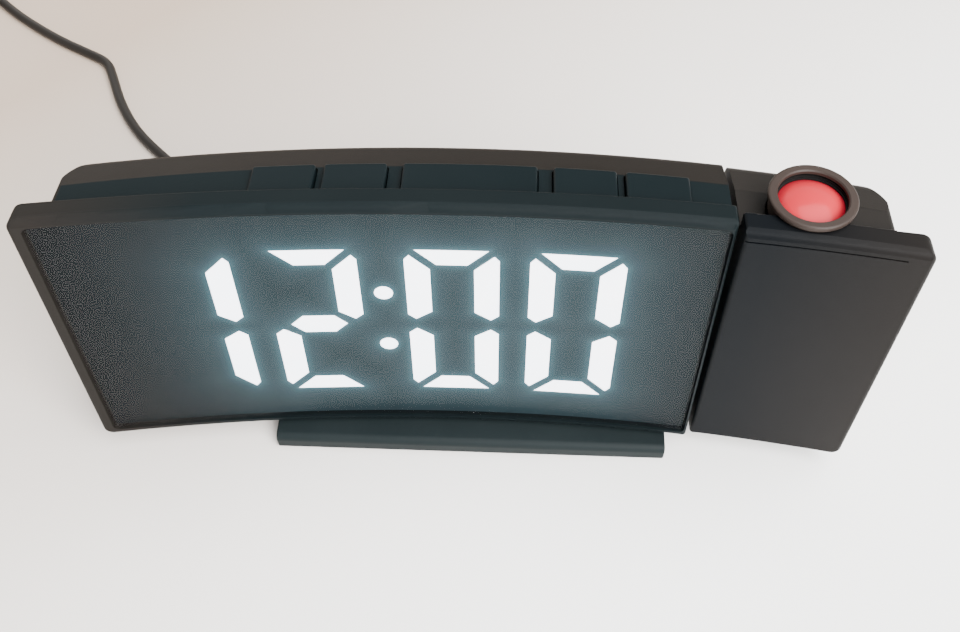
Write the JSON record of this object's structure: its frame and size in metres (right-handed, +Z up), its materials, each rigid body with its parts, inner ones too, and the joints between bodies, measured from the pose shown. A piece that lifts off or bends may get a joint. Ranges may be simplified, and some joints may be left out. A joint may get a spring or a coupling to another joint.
{
  "type": "desk clock",
  "caption": "Wide desk clock with a concave mirror-faced LED display, top buttons, slab base, and a tilting ceiling-projector end with a focus ring and a coiled power lead.",
  "frame": {"origin": "on the table, under the middle of the clock without its lead", "axes": "+Z up, +X to the viewer's right along the width, +Y away from the viewer"},
  "size_m": [0.3576, 0.2161, 0.0888],
  "materials": {
    "case_black": "fine textured black moulding",
    "tinted_window": "dark tinted half-mirror acrylic",
    "white_plastic": "white moulding",
    "lit_bar": "milky diffuser, lit white",
    "dark_bar": "milky diffuser, unlit",
    "circuit_board": "green glass-fibre board",
    "lamp": "surface-mount lamps",
    "brass_part": "turned brass",
    "component": "black moulded components",
    "steel_part": "bright steel",
    "button_black": "black caps",
    "plunger_tan": "tan switch plungers",
    "bearing_plastic": "natural acetal",
    "grey_plastic": "dark grey moulding",
    "clear_optic": "clear optic, reddish coating",
    "picture_slide": "liquid crystal picture slide",
    "foot_rubber": "black rubber",
    "lead_black": "black vinyl lead",
    "tie_black": "black tie"
  },
  "bodies": {
    "case": {"base_cover": "grey_plastic", "base_screws": "steel_part", "base_shell": "case_black", "base_weight": "steel_part", "board_parts": "component", "board_spacers": "brass_part", "button_board": "circuit_board", "case_screws": "steel_part", "coin_cell": "steel_part", "colon_dots": "lit_bar", "cord_coil": "lead_black", "cord_tail": "lead_black", "cord_tie": "tie_black", "display_board": "circuit_board", "display_leds": "lamp", "display_window": "tinted_window", "front_bezel": "case_black", "light_box": "white_plastic", "lit_segments": "lit_bar", "main_board": "circuit_board", "plug_barrel": "steel_part", "plug_body": "lead_black", "power_cord": "lead_black", "power_jack": "component", "rear_shell": "case_black", "rubber_feet": "foot_rubber", "speaker": "steel_part", "speaker_magnet": "steel_part", "swivel_bush": "bearing_plastic", "tact_switches": "component", "unlit_segments": "dark_bar", "usb_plug_body": "lead_black", "usb_plug_shell": "steel_part", "usb_socket": "steel_part", "usb_socket_tongue": "component"},
    "body_alarm_1": {"button_alarm_1": "button_black", "plunger_alarm_1": "plunger_tan"},
    "body_alarm_2": {"button_alarm_2": "button_black", "plunger_alarm_2": "plunger_tan"},
    "body_snooze": {"button_snooze": "button_black", "plunger_snooze": "plunger_tan"},
    "body_time_set": {"button_time_set": "button_black", "plunger_time_set": "plunger_tan"},
    "body_project": {"button_project": "button_black", "plunger_project": "plunger_tan"},
    "door": {"battery_door": "case_black"},
    "projector_end": {"module_front": "case_black", "module_shell": "case_black", "friction_washer": "bearing_plastic", "swivel_shaft": "grey_plastic", "swivel_clip": "steel_part", "module_screws": "steel_part", "projector_board": "circuit_board", "projector_lamp": "lamp", "lens_barrel": "grey_plastic", "condenser_lens": "clear_optic", "lcd_slide": "picture_slide"},
    "ring": {"focus_ring": "grey_plastic"},
    "lens_slide": {"lens_cell": "grey_plastic", "projection_lens": "clear_optic"}
  },
  "joints": [
    {"name": "press_alarm_1", "type": "slide", "parent": "case", "child": "body_alarm_1", "axis": [0, 0.0872, 0.9962], "range_m": [-0.0008, 0], "stiffness_N_per_m": 400, "springref_m": 0.0012},
    {"name": "press_alarm_2", "type": "slide", "parent": "case", "child": "body_alarm_2", "axis": [0, 0.0872, 0.9962], "range_m": [-0.0008, 0], "stiffness_N_per_m": 400, "springref_m": 0.0012},
    {"name": "press_snooze", "type": "slide", "parent": "case", "child": "body_snooze", "axis": [0, 0.0872, 0.9962], "range_m": [-0.0008, 0], "stiffness_N_per_m": 400, "springref_m": 0.0012},
    {"name": "press_time_set", "type": "slide", "parent": "case", "child": "body_time_set", "axis": [0, 0.0872, 0.9962], "range_m": [-0.0008, 0], "stiffness_N_per_m": 400, "springref_m": 0.0012},
    {"name": "press_project", "type": "slide", "parent": "case", "child": "body_project", "axis": [0, 0.0872, 0.9962], "range_m": [-0.0008, 0], "stiffness_N_per_m": 400, "springref_m": 0.0012},
    {"name": "door_lift", "type": "slide", "parent": "case", "child": "door", "axis": [0, 0.9962, -0.0872], "range_m": [0, 0.012]},
    {"name": "swivel", "type": "hinge", "parent": "case", "child": "projector_end", "pos_m": [0.059, -0.00219, 0.04572], "axis": [1, 0, 0], "range_deg": [-92, 88]},
    {"name": "focus_turn", "type": "hinge", "parent": "projector_end", "child": "ring", "pos_m": [0.0755, -0.00347, 0.08709], "axis": [0, 0.0488, 0.9988], "range_deg": [-60, 60]},
    {"name": "focus_slide", "type": "slide", "parent": "projector_end", "child": "lens_slide", "axis": [0, 0.0488, 0.9988], "range_m": [-0.00099, 0.00099]}
  ],
  "couplings": [
    {"joint": "focus_turn", "follows": "focus_slide", "rad_per_m": 1052.6}
  ]
}
